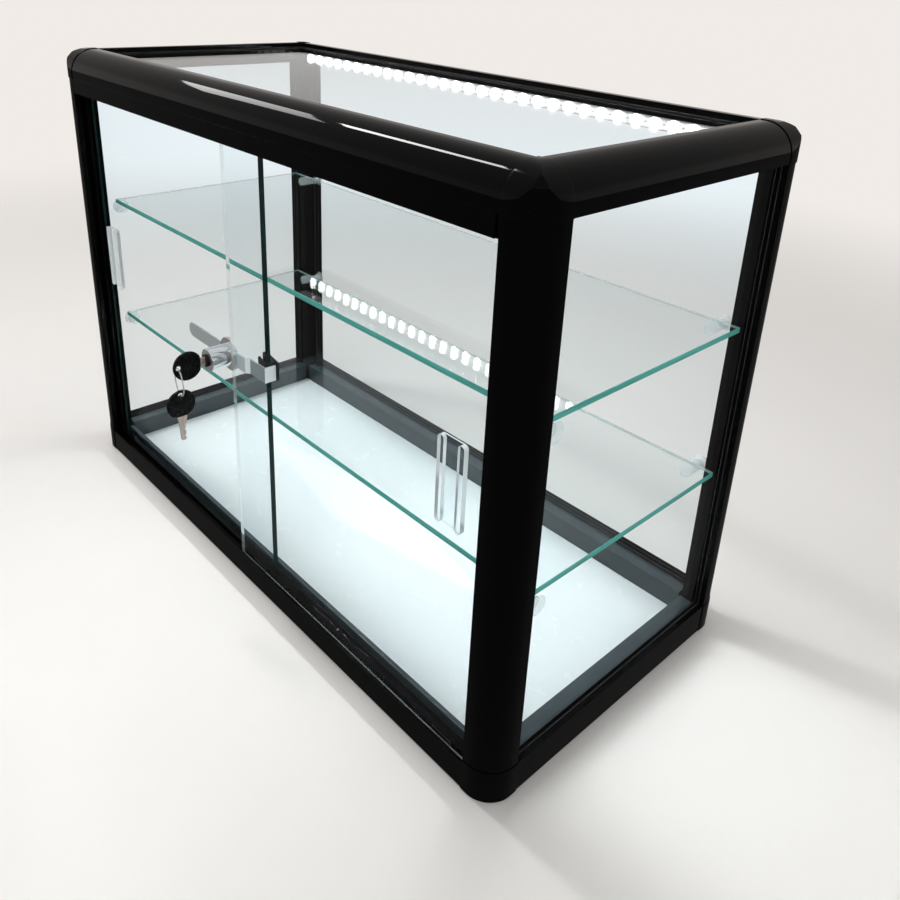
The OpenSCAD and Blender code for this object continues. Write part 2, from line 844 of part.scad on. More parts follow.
// The lock's axis runs along Y, with local +Z to the front and depth measured from y = 0
module at_lock() {
    translate([lock_x, 0, lock_z]) rotate([90, 0, 0]) children();
}

// A flange behind the outer door and a barrel beside its edge, bored for the plug
module lock_body() {
    rim = 0.6;
    color(bright_chrome) difference() {
        at_lock() rotate_extrude() polygon([
            [0, -lock_back_y], [flange_r - rim / 2, -lock_back_y], [flange_r, -lock_back_y + rim / 2],
            [flange_r, -flange_y - rim], [flange_r - rim, -flange_y], [barrel_r, -flange_y],
            [barrel_r, -barrel_y - rim], [barrel_r - rim, -barrel_y], [0, -barrel_y]
        ]);
        at_lock() translate([0, 0, -pawl_y1 - bar_gap]) cylinder(r = plug_r + plug_gap, h = 2 * barrel_l);
        at_lock() translate([0, 0, -lock_slot_y0 - eps])
            cylinder(r = pocket_r, h = pawl_t + 2 * bar_gap + eps);
        translate([lock_x - 2 * flange_r, lock_slot_y0, lock_z - bar_h / 2 - bar_gap])
            cube([4 * flange_r, bar_t + 2 * bar_gap, bar_h + 2 * bar_gap]);
    }
}

module lock_plug() {
    keyway_h = blade_w_at_plug + 2 * keyway_gap;
    keyway_t = blade_t + 2 * keyway_gap;
    keyway_d = blade_in + blade_t / 2;
    color(dark_rubber) at_lock() difference() {
        translate([0, 0, -pawl_y0]) cylinder(r = plug_r, h = pawl_y0 - plug_y);
        translate([-keyway_t / 2, -keyway_h / 2, -plug_y - keyway_d])
            cube([keyway_t, keyway_h, 2 * keyway_d]);
    }
}

// The pawl: a lobed plate on the plug's inner end, in front of the bar
module lock_pawl() {
    lobe_r = plug_r / 2;
    color(nickel) at_lock() translate([0, 0, -pawl_y1]) linear_extrude(pawl_t) {
        circle(lobe_r);
        translate([0, -lobe_r / 2]) square([pawl_r - lobe_r / 2, lobe_r]);
        translate([pawl_r - lobe_r / 2, 0]) circle(lobe_r / 2);
    }
}

// A key blade runs along +Y from the flat on its head, its seat inside the head
module blade() {
    rotate([0, -90, 0]) translate([0, 0, -blade_t / 2]) linear_extrude(blade_t) polygon([
        [-blade_root / 2, key_flat - blade_seat], [blade_root / 2, key_flat - blade_seat],
        [blade_root / 2, key_flat], [blade_mid / 2, key_flat + blade_shoulder],
        [blade_tip / 2, key_flat + blade_l], [-blade_tip / 2, key_flat + blade_l],
        [-blade_mid / 2, key_flat + blade_shoulder], [-blade_root / 2, key_flat]
    ]);
}

// A key head: a disc across X with a soft rim, a flat for the blade and a flared hole opposite
module bow() {
    half = key_head_t / 2;
    soft = half / 2;
    waist = key_hole_waist / 2;
    mouth_r = key_hole_r + half + eps - waist;
    difference() {
        rotate([0, 90, 0]) rotate_extrude($fn = 96) polygon([
            [0, -half], [key_head_d / 2 - soft, -half], [key_head_d / 2, -half + soft],
            [key_head_d / 2, half - soft], [key_head_d / 2 - soft, half], [0, half]
        ]);
        translate([-key_head_d, key_flat, -key_head_d]) cube(2 * key_head_d);
        translate([0, -key_hole_out, 0]) rotate([0, 90, 0]) rotate_extrude() polygon([
            [0, -half - eps], [mouth_r, -half - eps], [key_hole_r, -waist],
            [key_hole_r, waist], [mouth_r, half + eps], [0, half + eps]
        ]);
        blade();
    }
}

module at_key() {
    translate([lock_x, key_y, lock_z]) children();
}

module at_spare_key() {
    translate([lock_x, key_hole_y, spare_z]) rotate([-90, 0, 0]) children();
}

module key_blade() {
    color(nickel) at_key() blade();
}

module key_head() {
    color(dark_rubber) at_key() bow();
}

module spare_key_blade() {
    color(nickel) at_spare_key() blade();
}

module spare_key_head() {
    color(dark_rubber) at_spare_key() bow();
}

module key_ring() {
    color(bright_chrome) translate([lock_x, key_hole_y, ring_z]) rotate([90, 0, ring_turn])
        rotate_extrude($fn = 96) translate([ring_r, 0]) circle(d = ring_wire);
}

front_left_post();
front_right_post();
rear_left_post();
rear_right_post();
top_front_rail();
top_rear_rail();
top_left_rail();
top_right_rail();
front_sill_track();
bottom_rear_rail();
bottom_left_rail();
bottom_right_rail();
corner(0, 0, 0);  // corner_bottom_front_left
corner(1, 0, 0);  // corner_bottom_front_right
corner(0, 1, 0);  // corner_bottom_rear_left
corner(1, 1, 0);  // corner_bottom_rear_right
corner(0, 0, 1);  // corner_top_front_left
corner(1, 0, 1);  // corner_top_front_right
corner(0, 1, 1);  // corner_top_rear_left
corner(1, 1, 1);  // corner_top_rear_right
top_glass();
rear_glass();
left_glass();
right_glass();
top_gasket();
rear_gasket();
left_gasket();
right_gasket();
base_deck();
upper_shelf();
lower_shelf();
shelf_suction_cups();
shelf_support_pins();
led_channel();
led_board();
led_chips();
led_lead();
power_socket();
door_fascia();
upper_door_track();
left_door_glass();
left_door_pull();
left_door_glides();
right_door_glass();
right_door_pull();
right_door_glides();
lock_bar();
hook_liner();
lock_body();
lock_plug();
lock_pawl();
key_blade();
key_head();
key_ring();
spare_key_blade();
spare_key_head();
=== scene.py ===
# Countertop display case, dressed for rendering: a gloss black frame with glass on all sides,
# two sliding glass doors, two glass shelves, a light strip and a ratchet lock with its keys.
import math

import bmesh
import bpy
from mathutils import Matrix, Vector


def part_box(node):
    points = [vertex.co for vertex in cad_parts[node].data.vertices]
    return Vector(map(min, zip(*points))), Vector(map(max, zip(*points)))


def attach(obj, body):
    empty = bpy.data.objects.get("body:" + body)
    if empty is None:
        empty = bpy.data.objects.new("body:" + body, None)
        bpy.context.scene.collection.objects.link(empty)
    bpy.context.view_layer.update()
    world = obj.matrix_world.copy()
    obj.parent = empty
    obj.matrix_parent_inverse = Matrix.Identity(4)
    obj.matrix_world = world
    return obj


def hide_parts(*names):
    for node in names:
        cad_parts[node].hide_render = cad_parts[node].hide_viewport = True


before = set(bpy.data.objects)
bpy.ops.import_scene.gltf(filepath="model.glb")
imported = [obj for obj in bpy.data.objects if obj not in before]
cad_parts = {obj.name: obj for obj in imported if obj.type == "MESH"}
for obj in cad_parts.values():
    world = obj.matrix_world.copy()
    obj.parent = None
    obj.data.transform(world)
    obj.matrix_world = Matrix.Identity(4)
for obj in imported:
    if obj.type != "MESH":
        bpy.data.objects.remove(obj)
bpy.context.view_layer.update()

MM = 0.001
scene = bpy.context.scene
scene.view_settings.view_transform = "Standard"

# Posts, rails and sill: extruded aluminium in gloss black paint, cut square and pushed onto the
# spigots of the corner connectors. Each outer edge is one broad radius and every lip is lightly
# broken, so a thin line of light runs along it. The sill carries the two door grooves.
RAILS = (
    "front_left_post", "front_right_post", "rear_left_post", "rear_right_post",
    "top_front_rail", "top_rear_rail", "top_left_rail", "top_right_rail",
    "front_sill_track", "bottom_rear_rail", "bottom_left_rail", "bottom_right_rail",
)
RAIL_ARRIS = 0.35 * MM


def tone(red, green, blue):
    """A colour given as it shows on a screen, 0 to 255, as the linear colour a shader takes."""
    def linear(value):
        value /= 255
        return value / 12.92 if value <= 0.04045 else ((value + 0.055) / 1.055) ** 2.4
    return (linear(red), linear(green), linear(blue), 1.0)


def surface(name, colour, noise_colour, gloss, scale, relief=0.0, stretch=(1, 1, 1), **sockets):
    """A surface whose colour, gloss and height drift with noise of scale cycles a metre."""
    material = bpy.data.materials.new(name)
    material.use_nodes = True
    nodes, links = material.node_tree.nodes, material.node_tree.links
    shader = nodes["Principled BSDF"]
    place = nodes.new("ShaderNodeTexCoord")
    spread = nodes.new("ShaderNodeMapping")
    spread.inputs["Scale"].default_value = [scale * s for s in stretch]
    drift = nodes.new("ShaderNodeTexNoise")
    drift.inputs["Scale"].default_value = 1.0
    drift.inputs["Detail"].default_value = 5.0
    drift.inputs["Roughness"].default_value = 0.6
    links.new(place.outputs["Object"], spread.inputs["Vector"])
    links.new(spread.outputs["Vector"], drift.inputs["Vector"])
    band = nodes.new("ShaderNodeMapRange")
    band.inputs["From Min"].default_value = 0.3
    band.inputs["From Max"].default_value = 0.7
    band.inputs["To Min"].default_value = gloss[0]
    band.inputs["To Max"].default_value = gloss[1]
    links.new(drift.outputs["Fac"], band.inputs["Value"])
    links.new(band.outputs["Result"], shader.inputs["Roughness"])
    shader.inputs["Base Color"].default_value = colour
    if noise_colour != colour:
        blend = nodes.new("ShaderNodeMix")
        blend.data_type = "RGBA"
        blend.inputs["A"].default_value = colour
        blend.inputs["B"].default_value = noise_colour
        links.new(drift.outputs["Fac"], blend.inputs["Factor"])
        links.new(blend.outputs["Result"], shader.inputs["Base Color"])
    if relief:
        height = nodes.new("ShaderNodeBump")
        height.inputs["Strength"].default_value = 1.0
        height.inputs["Distance"].default_value = relief
        links.new(drift.outputs["Fac"], height.inputs["Height"])
        links.new(height.outputs["Normal"], shader.inputs["Normal"])
    for socket, value in sockets.items():
        shader.inputs[socket.replace("_", " ")].default_value = value
    return material


def piece(name, bm, body, slot, *materials, sharp=32):
    """The mesh in bm as an object of its own that moves with a body and takes the given materials.
    The slot is not used.
    """
    mesh = bpy.data.meshes.new(name)
    bm.to_mesh(mesh)
    bm.free()
    mesh.shade_smooth()
    mesh.set_sharp_from_angle(angle=math.radians(sharp))
    for material in materials:
        mesh.materials.append(material)
    made = bpy.data.objects.new(name, mesh)
    scene.collection.objects.link(made)
    made.modifiers.new("flat_faces_stay_flat", "WEIGHTED_NORMAL").keep_sharp = True
    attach(made, body)
    return made


def eased(node, arris, body, slot, *materials, segments=2, which=None):
    """A node's solid with its triangles merged and its sharp edges broken. which gives the number
    of the material that a face takes, where there is more than one."""
    bm = bmesh.new()
    bm.from_mesh(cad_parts[node].data)
    bmesh.ops.remove_doubles(bm, verts=bm.verts, dist=0.001 * MM)
    flat, crease = math.radians(0.4), math.radians(28)
    bmesh.ops.dissolve_limit(bm, angle_limit=flat, verts=bm.verts, edges=bm.edges)
    edges = [e for e in bm.edges if e.is_manifold and e.calc_face_angle() > crease]
    bmesh.ops.bevel(
        bm, geom=edges, offset=arris, segments=segments, profile=0.5, affect="EDGES",
        clamp_overlap=True,
    )
    if which:
        for f in bm.faces:
            f.material_index = int(which(f))
    made = piece("dressed_" + node, bm, body, slot, *materials)
    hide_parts(node)
    return made


gloss_paint = surface(
    "gloss_black_paint", tone(3, 3, 4), tone(7, 7, 8), (0.02, 0.05), 60, relief=0.002 * MM,
    Specular_IOR_Level=0.07,
)
# The slate grey of the lower rails' inner faces is a painted reflection of the lit deck and light
# strip.
inner_painted_reflection = surface(
    "inner_rail_painted_reflection", tone(42, 51, 55), tone(58, 69, 73), (0.14, 0.2), 60)
inside_lo = (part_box("left_glass")[1][0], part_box("left_door_glass")[1][1])
inside_hi = (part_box("right_glass")[0][0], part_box("rear_glass")[0][1])


def faces_inside(face):
    """Whether a face of a lower rail lies inside the glass, where it takes a slate grey, a painted
    reflection of the lit deck.
    """
    x, y, _ = face.calc_center_median()
    within = inside_lo[0] < x < inside_hi[0] and inside_lo[1] < y < inside_hi[1]
    return within and face.normal.z > -0.5


for node in RAILS:
    lower = node.startswith(("bottom", "front_sill"))
    eased(
        node, RAIL_ARRIS, "case", "frame_black", gloss_paint, inner_painted_reflection,
        which=faces_inside if lower else None)

# Corner connectors: glass-filled nylon mouldings in black, pressed into the ends of the rails.
# They stand a little proud of the extrusions, with a faceted corner and soft creases.
CORNERS = [
    f"corner_{level}_{face}_{side}"
    for level in ("bottom", "top") for face in ("front", "rear") for side in ("left", "right")
]
CORNER_ARRIS = 0.4 * MM

moulded_black = surface(
    "moulded_black_nylon", tone(4, 4, 5), tone(8, 8, 9), (0.04, 0.08), 240, relief=0.001 * MM,
    Specular_IOR_Level=0.07,
)
for node in CORNERS:
    eased(node, CORNER_ARRIS, "case", "corner_black", moulded_black)

# Fixed panes: clear float glass, slid into the slots of the frame from inside before the last
# connectors go on. Each is held in a black rubber channel that fills the slot.
PANES = ("top_glass", "rear_glass", "left_glass", "right_glass")
GASKETS = ("top_gasket", "rear_gasket", "left_gasket", "right_gasket")
PANE_ARRIS, GASKET_ARRIS = 0.3 * MM, 0.2 * MM
LAMP_TINT = (0.975, 0.98, 0.98, 1.0)


def lets_lamps_by(material):
    """The same surface, but the light of a lamp goes through it and it casts no shadow."""
    nodes, links = material.node_tree.nodes, material.node_tree.links
    shader, out = nodes["Principled BSDF"], nodes["Material Output"]
    path = nodes.new("ShaderNodeLightPath")
    through = nodes.new("ShaderNodeBsdfTransparent")
    through.inputs["Color"].default_value = LAMP_TINT
    either = nodes.new("ShaderNodeMixShader")
    links.new(path.outputs["Is Shadow Ray"], either.inputs["Fac"])
    links.new(shader.outputs["BSDF"], either.inputs[1])
    links.new(through.outputs["BSDF"], either.inputs[2])
    links.new(either.outputs["Shader"], out.inputs["Surface"])
    return material


def clear(name, tint, ior, smear, scale=25):
    """Clear stuff that bends light and has faint smears on it."""
    return lets_lamps_by(
        surface(name, tint, tint, (0.0, smear), scale, Transmission_Weight=1.0, IOR=ior))


pane_glass = clear("pane_glass", tone(250, 253, 254), 1.12, 0.012)
for node in PANES:
    eased(node, PANE_ARRIS, "case", "pane_glass", pane_glass)
rubber = surface(
    "gasket_rubber", tone(16, 16, 17), tone(30, 30, 31), (0.45, 0.65), 400, relief=0.02 * MM,
)
for node in GASKETS:
    eased(node, GASKET_ARRIS, "case", "gasket_black", rubber)

# Base deck: a white laminate panel whose tongue is caught in the grooves of the lower rails.
DECK_ARRIS = 0.5 * MM

white_laminate = surface(
    "white_laminate", tone(230, 236, 237), tone(222, 229, 230), (0.16, 0.3), 90, relief=0.01 * MM,
)
eased("base_deck", DECK_ARRIS, "case", "deck_white", white_laminate)

# Shelf supports: clear soft plastic suction cups pressed on the panes, two on the rear pane and one
# on each side for each shelf, with a stub pin in the hub that the shelf lies on.
CUP_RIM, HUB_WALL, POST_GAP = 0.7 * MM, 0.5 * MM, 0.5 * MM
PIN_R, PIN_REACH, PIN_GROOVE = 5.5 * MM, 9.0 * MM, 0.6 * MM


def lathe(bm, outline, steps=40):
    """Turns an outline of (radius, height) points about the Z axis, from axis to axis."""
    rings = []
    for radius, height in outline:
        if radius == 0:
            rings.append([bm.verts.new((0, 0, height))])
            continue
        turns = [2 * math.pi * i / steps for i in range(steps)]
        rings.append([
            bm.verts.new((radius * math.cos(a), radius * math.sin(a), height)) for a in turns])
    for low, high in zip(rings, rings[1:]):
        for i in range(steps):
            j = (i + 1) % steps
            ends = [low[i % len(low)], low[j % len(low)], high[j % len(high)], high[i % len(high)]]
            bm.faces.new(list(dict.fromkeys(ends)))
    bmesh.ops.recalc_face_normals(bm, faces=bm.faces)


def scatter_tree():
    """Copies one part onto every point of a mesh, its Z axis along the point's facing."""
    tree = bpy.data.node_groups.new("part_on_each_place", "GeometryNodeTree")
    face = tree.interface
    face.new_socket("Places", in_out="INPUT", socket_type="NodeSocketGeometry")
    face.new_socket("Part", in_out="INPUT", socket_type="NodeSocketObject")
    face.new_socket("Finish", in_out="INPUT", socket_type="NodeSocketMaterial")
    face.new_socket("Copies", in_out="OUTPUT", socket_type="NodeSocketGeometry")
    nodes, links = tree.nodes, tree.links
    given, made = nodes.new("NodeGroupInput"), nodes.new("NodeGroupOutput")
    part = nodes.new("GeometryNodeObjectInfo")
    facing = nodes.new("GeometryNodeInputNamedAttribute")
    facing.data_type = "FLOAT_VECTOR"
    facing.inputs["Name"].default_value = "facing"
    aim = nodes.new("FunctionNodeAlignRotationToVector")
    aim.axis = "Z"
    copies = nodes.new("GeometryNodeInstanceOnPoints")
    real = nodes.new("GeometryNodeRealizeInstances")
    paint = nodes.new("GeometryNodeSetMaterial")
    links.new(given.outputs["Places"], copies.inputs["Points"])
    links.new(given.outputs["Part"], part.inputs["Object"])
    links.new(part.outputs["Geometry"], copies.inputs["Instance"])
    links.new(facing.outputs["Attribute"], aim.inputs["Vector"])
    links.new(aim.outputs["Rotation"], copies.inputs["Rotation"])
    links.new(copies.outputs["Instances"], real.inputs["Geometry"])
    links.new(real.outputs["Geometry"], paint.inputs["Geometry"])
    links.new(given.outputs["Finish"], paint.inputs["Material"])
    links.new(paint.outputs["Geometry"], made.inputs["Copies"])
    return tree


part_on_each_place = scatter_tree()


def grown(name, mesh, tree, body, slot, **inputs):
    """The plain mesh that a node tree makes of a mesh and its named inputs, as a piece."""
    made = bpy.data.objects.new(name, mesh)
    scene.collection.objects.link(made)
    maker = made.modifiers.new("maker", "NODES")
    maker.node_group = tree
    for socket in tree.interface.items_tree:
        if socket.in_out == "INPUT" and socket.name in inputs:
            maker[socket.identifier] = inputs[socket.name]
    bpy.context.view_layer.update()
    real = made.evaluated_get(bpy.context.evaluated_depsgraph_get())
    made.data = bpy.data.meshes.new_from_object(real)
    made.modifiers.remove(maker)
    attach(made, body)
    return made


def single(name, bm, sharp):
    """The mesh in bm as one loose part, to be copied."""
    part = bpy.data.objects.new(name + "_one", bpy.data.meshes.new(name + "_one"))
    bm.to_mesh(part.data)
    bm.free()
    part.data.shade_smooth()
    part.data.set_sharp_from_angle(angle=math.radians(sharp))
    return part


def scattered(name, bm, places, body, slot, material, sharp=50):
    """Copies of the mesh in bm on places, a list of (point, facing), as one piece."""
    part = single(name, bm, sharp)
    mesh = bpy.data.meshes.new(name)
    mesh.from_pydata([point for point, _ in places], [], [])
    facing = mesh.attributes.new("facing", "FLOAT_VECTOR", "POINT")
    for item, (_, direction) in zip(facing.data, places):
        item.vector = direction
    made = grown(name, mesh, part_on_each_place, body, slot, Part=part, Finish=material)
    bpy.data.objects.remove(part)
    return made


cups_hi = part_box("shelf_suction_cups")[1]
pins_lo, pins_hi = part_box("shelf_support_pins")
shelf_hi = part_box("upper_shelf")[1]
side_glass_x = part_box("right_glass")[0][0]
rear_glass_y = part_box("rear_glass")[0][1]
cup_t = cups_hi[0] - pins_hi[0]
cup_r = cups_hi[2] - (pins_hi[2] - PIN_R)
hub_r = PIN_R + HUB_WALL
side_y = pins_lo[1] + PIN_R
support_z = [pins_lo[2] + PIN_R, pins_hi[2] - PIN_R]
rear_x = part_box("rear_right_post")[0][0] - POST_GAP - cup_r
side_l = side_glass_x - cup_t - shelf_hi[0] + PIN_REACH
rear_l = rear_glass_y - cup_t - shelf_hi[1] + PIN_REACH

side_places = [
    ((side * side_glass_x, side_y, z), (-side, 0, 0)) for z in support_z for side in (-1, 1)
]
rear_places = [
    ((side * rear_x, rear_glass_y, z), (0, -1, 0)) for z in support_z for side in (-1, 1)
]
soft_clear = surface(
    "soft_clear_plastic", tone(214, 224, 226), tone(232, 238, 239), (0.06, 0.14), 300, Alpha=0.3)
bm = bmesh.new()
lathe(bm, [
    (0, 0.6 * MM), (0.45 * cup_r, 0.45 * MM), (cup_r - 0.8 * MM, 0.04 * MM),
    (cup_r - 0.2 * MM, 0.1 * MM), (cup_r, 0.35 * MM), (cup_r - 0.2 * MM, CUP_RIM),
    (0.86 * cup_r, 1.5 * MM), (hub_r + 0.5 * MM, 2.1 * MM), (hub_r, 2.7 * MM),
    (hub_r, cup_t - 0.3 * MM), (hub_r - 0.3 * MM, cup_t), (0, cup_t),
])
cups = scattered("suction_cups", bm, side_places + rear_places, "case", "clear_plastic", soft_clear)
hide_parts("shelf_suction_cups")
hard_clear = surface(
    "hard_clear_plastic", tone(206, 218, 220), tone(226, 234, 236), (0.05, 0.12), 300, Alpha=0.3)
for name, length, places in (("side", side_l, side_places), ("rear", rear_l, rear_places)):
    bm = bmesh.new()
    end = cup_t + length
    lathe(bm, [
        (0, cup_t), (PIN_R, cup_t), (PIN_R, end - 3 * PIN_GROOVE),
        (PIN_R - PIN_GROOVE, end - 2.2 * PIN_GROOVE), (PIN_R - PIN_GROOVE, end - PIN_GROOVE),
        (PIN_R - 1.6 * PIN_GROOVE, end - 0.2 * PIN_GROOVE), (PIN_R - 3 * PIN_GROOVE, end), (0, end),
    ])
    pins = scattered(f"support_pins_{name}", bm, places, "case", "clear_plastic", hard_clear)
    if name == "side":
        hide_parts("shelf_support_pins")

# Shelves: loose plates of clear float glass with ground and polished edges, which show the green of
# the iron in the glass where one looks along the plate.
SHELF_ARRIS = 0.7 * MM


def block(bm, low, high, arris, segments=1):
    """A block between two corners with its edges broken."""
    corners = bmesh.ops.create_cube(bm, size=1.0)["verts"]
    for v in corners:
        v.co = [low[i] + (v.co[i] + 0.5) * (high[i] - low[i]) for i in range(3)]
    edges = [e for e in bm.edges if e.verts[0] in corners]
    bmesh.ops.bevel(bm, geom=edges, offset=arris, segments=segments, profile=0.5, affect="EDGES")


def plate(name, node, thin, arris, body, slot, face, edge, far_edge=None):
    """A glass plate in the place of a node, thin along one axis, with its rim in the edge material.
    The edges that face the rear and the left take far_edge."""
    bm = bmesh.new()
    block(bm, *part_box(node), arris, segments=2)
    for f in bm.faces:
        turned = f.normal.x < -0.5 or f.normal.y > 0.5
        f.material_index = 0 if abs(f.normal[thin]) > 0.99 else 2 if far_edge and turned else 1
    made = piece(name, bm, body, slot, face, edge, *([far_edge] if far_edge else []))
    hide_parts(node)
    return made


shelf_glass = clear("shelf_glass", tone(250, 253, 253), 1.25, 0.012)
# The rims are the green of the iron in the glass. They carry a faint painted teal glow for light
# carried along the plate, and a pale cyan across their thickness that is a painted highlight.
green_edge_painted_glow = lets_lamps_by(surface(
    "shelf_green_edge_painted_glow", tone(6, 88, 80), tone(112, 190, 178), (0.08, 0.2), 40,
    stretch=(0.4, 0.4, 8), Emission_Color=tone(20, 132, 120), Emission_Strength=0.2,
))
# The rims that face the rear and the left are a pale half-clear colour, painted light for how they
# look seen through the plate.
far_edge_painted_light = surface(
    "shelf_far_edge_painted_light", tone(196, 212, 208), tone(214, 226, 223), (0.3, 0.45), 60, Alpha=0.45)
for node in ("upper_shelf", "lower_shelf"):
    plate(
        node + "_plate", node, 2, SHELF_ARRIS, "case", "shelf_glass", shelf_glass, green_edge_painted_glow,
        far_edge_painted_light)

# Light strip: a small aluminium channel riveted inside the rear top rail, a white board in it and a
# row of surface-mounted light chips with shallow lenses, each with two solder pads and a resistor.
CHANNEL_ARRIS, BOARD_ARRIS, CHIP_ARRIS = 0.15 * MM, 0.08 * MM, 0.2 * MM
CHIP_PITCH, CHIP_COUNT = 19.1 * MM, 32
LENS_SEAT = 0.05 * MM
PAD, PAD_GAP, PAD_ARRIS = (1.4 * MM, 0.12 * MM, 3.2 * MM), 0.7 * MM, 0.05 * MM
RESISTOR, RESISTOR_ARRIS = (2.0 * MM, 0.45 * MM, 1.2 * MM), 0.1 * MM


def row_tree():
    """Copies one part along a straight row of points with an even pitch."""
    tree = bpy.data.node_groups.new("part_along_a_row", "GeometryNodeTree")
    face = tree.interface
    face.new_socket("Part", in_out="INPUT", socket_type="NodeSocketObject")
    face.new_socket("Count", in_out="INPUT", socket_type="NodeSocketInt")
    face.new_socket("Start", in_out="INPUT", socket_type="NodeSocketVector")
    face.new_socket("Pitch", in_out="INPUT", socket_type="NodeSocketVector")
    face.new_socket("Finish", in_out="INPUT", socket_type="NodeSocketMaterial")
    face.new_socket("Copies", in_out="OUTPUT", socket_type="NodeSocketGeometry")
    nodes, links = tree.nodes, tree.links
    given, made = nodes.new("NodeGroupInput"), nodes.new("NodeGroupOutput")
    part = nodes.new("GeometryNodeObjectInfo")
    row = nodes.new("GeometryNodeMeshLine")
    copies = nodes.new("GeometryNodeInstanceOnPoints")
    real = nodes.new("GeometryNodeRealizeInstances")
    paint = nodes.new("GeometryNodeSetMaterial")
    links.new(given.outputs["Part"], part.inputs["Object"])
    links.new(given.outputs["Count"], row.inputs["Count"])
    links.new(given.outputs["Start"], row.inputs["Start Location"])
    links.new(given.outputs["Pitch"], row.inputs["Offset"])
    links.new(row.outputs["Mesh"], copies.inputs["Points"])
    links.new(part.outputs["Geometry"], copies.inputs["Instance"])
    links.new(copies.outputs["Instances"], real.inputs["Geometry"])
    links.new(real.outputs["Geometry"], paint.inputs["Geometry"])
    links.new(given.outputs["Finish"], paint.inputs["Material"])
    links.new(paint.outputs["Geometry"], made.inputs["Copies"])
    return tree


part_along_a_row = row_tree()


def row(name, bm, count, start, pitch, body, slot, material):
    """Copies of the mesh in bm from start on, one pitch apart, as one piece."""
    part = single(name, bm, sharp=35)
    made = grown(
        name, bpy.data.meshes.new(name), part_along_a_row, body, slot,
        Part=part, Count=count, Start=start, Pitch=(pitch, 0.0, 0.0), Finish=material)
    bpy.data.objects.remove(part)
    return made


def on_board(bm, x, size, arris):
    """A block of a width, thickness and height that lies on the board with its middle at x."""
    width, thick, tall = size
    block(bm, (x - width / 2, -thick, -tall / 2), (x + width / 2, 0, tall / 2), arris)


anodised = surface(
    "channel_anodised", tone(176, 178, 180), tone(196, 198, 200), (0.3, 0.42), 500,
    stretch=(0.05, 1, 1), Metallic=1.0,
)
eased("led_channel", CHANNEL_ARRIS, "case", "light_channel", anodised)
board_white = surface(
    "board_white_mask", tone(228, 230, 228), tone(238, 239, 236), (0.3, 0.45), 300,
)
eased("led_board", BOARD_ARRIS, "case", "light_board", board_white)

chip_lo, chip_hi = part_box("led_chips")
board_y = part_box("led_board")[0][1]
chip_w = chip_hi[2] - chip_lo[2]
body_t = (chip_hi[1] - chip_lo[1]) / 2
chip_z = (chip_lo[2] + chip_hi[2]) / 2
first_chip = (-(CHIP_COUNT - 1) / 2 * CHIP_PITCH, board_y, chip_z)
chip_body = surface("chip_body", tone(232, 232, 226), tone(240, 240, 236), (0.35, 0.5), 600)
bm = bmesh.new()
on_board(bm, 0, (chip_w, body_t, chip_w), CHIP_ARRIS)
bodies = row(
    "light_chip_bodies", bm, CHIP_COUNT, first_chip, CHIP_PITCH, "case", "light_chip", chip_body)
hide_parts("led_chips")
lit_lens = surface(
    "lit_chip_lens", tone(255, 255, 250), tone(250, 252, 255), (0.1, 0.2), 700,
    Emission_Color=(0.97, 0.99, 1.0, 1.0), Emission_Strength=22.0,
)
bm = bmesh.new()
lens_r, lens_h = chip_w, 0.8 * chip_w
lathe(bm, [
    (0, 0), (lens_r, 0), (0.97 * lens_r, 0.3 * lens_h), (0.8 * lens_r, 0.65 * lens_h),
    (0.5 * lens_r, 0.9 * lens_h), (0, lens_h),
], steps=20)
bmesh.ops.rotate(bm, verts=bm.verts, cent=(0, 0, 0), matrix=Matrix.Rotation(math.pi / 2, 3, "X"))
bmesh.ops.translate(bm, verts=bm.verts, vec=(0, -body_t - LENS_SEAT, 0))
row("light_chip_lenses", bm, CHIP_COUNT, first_chip, CHIP_PITCH, "case", "light_chip", lit_lens)
tinned = surface(
    "tinned_pads", tone(178, 178, 172), tone(200, 200, 196), (0.25, 0.4), 900, Metallic=1.0)
bm = bmesh.new()
for side in (-1, 1):
    on_board(bm, side * (chip_w / 2 + PAD_GAP + PAD[0] / 2), PAD, PAD_ARRIS)
row("solder_pads", bm, CHIP_COUNT, first_chip, CHIP_PITCH, "case", "light_board", tinned)
resistor_black = surface("resistor_black", tone(24, 24, 26), tone(38, 38, 40), (0.3, 0.5), 900)
bm = bmesh.new()
on_board(bm, 0, RESISTOR, RESISTOR_ARRIS)
first_gap = (first_chip[0] + CHIP_PITCH / 2, board_y, chip_z)
row(
    "strip_resistors", bm, CHIP_COUNT - 1, first_gap, CHIP_PITCH, "case", "light_board",
    resistor_black)

# Lead and socket: a short two-core lead from the board through the rear rail, soldered to a round
# moulded power socket pressed into the back of the rail, with a plated pin in its bore.
LEAD_ARRIS, SOCKET_ARRIS, CONTACT_R = 0.1 * MM, 0.2 * MM, 0.65 * MM

lead_black = surface("lead_sheath", tone(18, 18, 19), tone(28, 28, 29), (0.4, 0.55), 500)
eased("led_lead", LEAD_ARRIS, "case", "socket_black", lead_black)
eased("power_socket", SOCKET_ARRIS, "case", "socket_black", moulded_black)
plated = surface(
    "plated_contact", tone(200, 196, 186), tone(214, 210, 202), (0.12, 0.25), 800, Metallic=1.0)
socket_lo, socket_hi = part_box("power_socket")
contact_l = 0.8 * (socket_hi[1] - socket_lo[1])
bm = bmesh.new()
lathe(bm, [
    (0, 0), (CONTACT_R, 0), (CONTACT_R, contact_l - CONTACT_R),
    (0.7 * CONTACT_R, contact_l - 0.3 * CONTACT_R), (0, contact_l),
], steps=20)
socket_axis = Matrix.Translation((
    (socket_lo[0] + socket_hi[0]) / 2, socket_lo[1], (socket_lo[2] + socket_hi[2]) / 2,
)) @ Matrix.Rotation(-math.pi / 2, 4, "X")
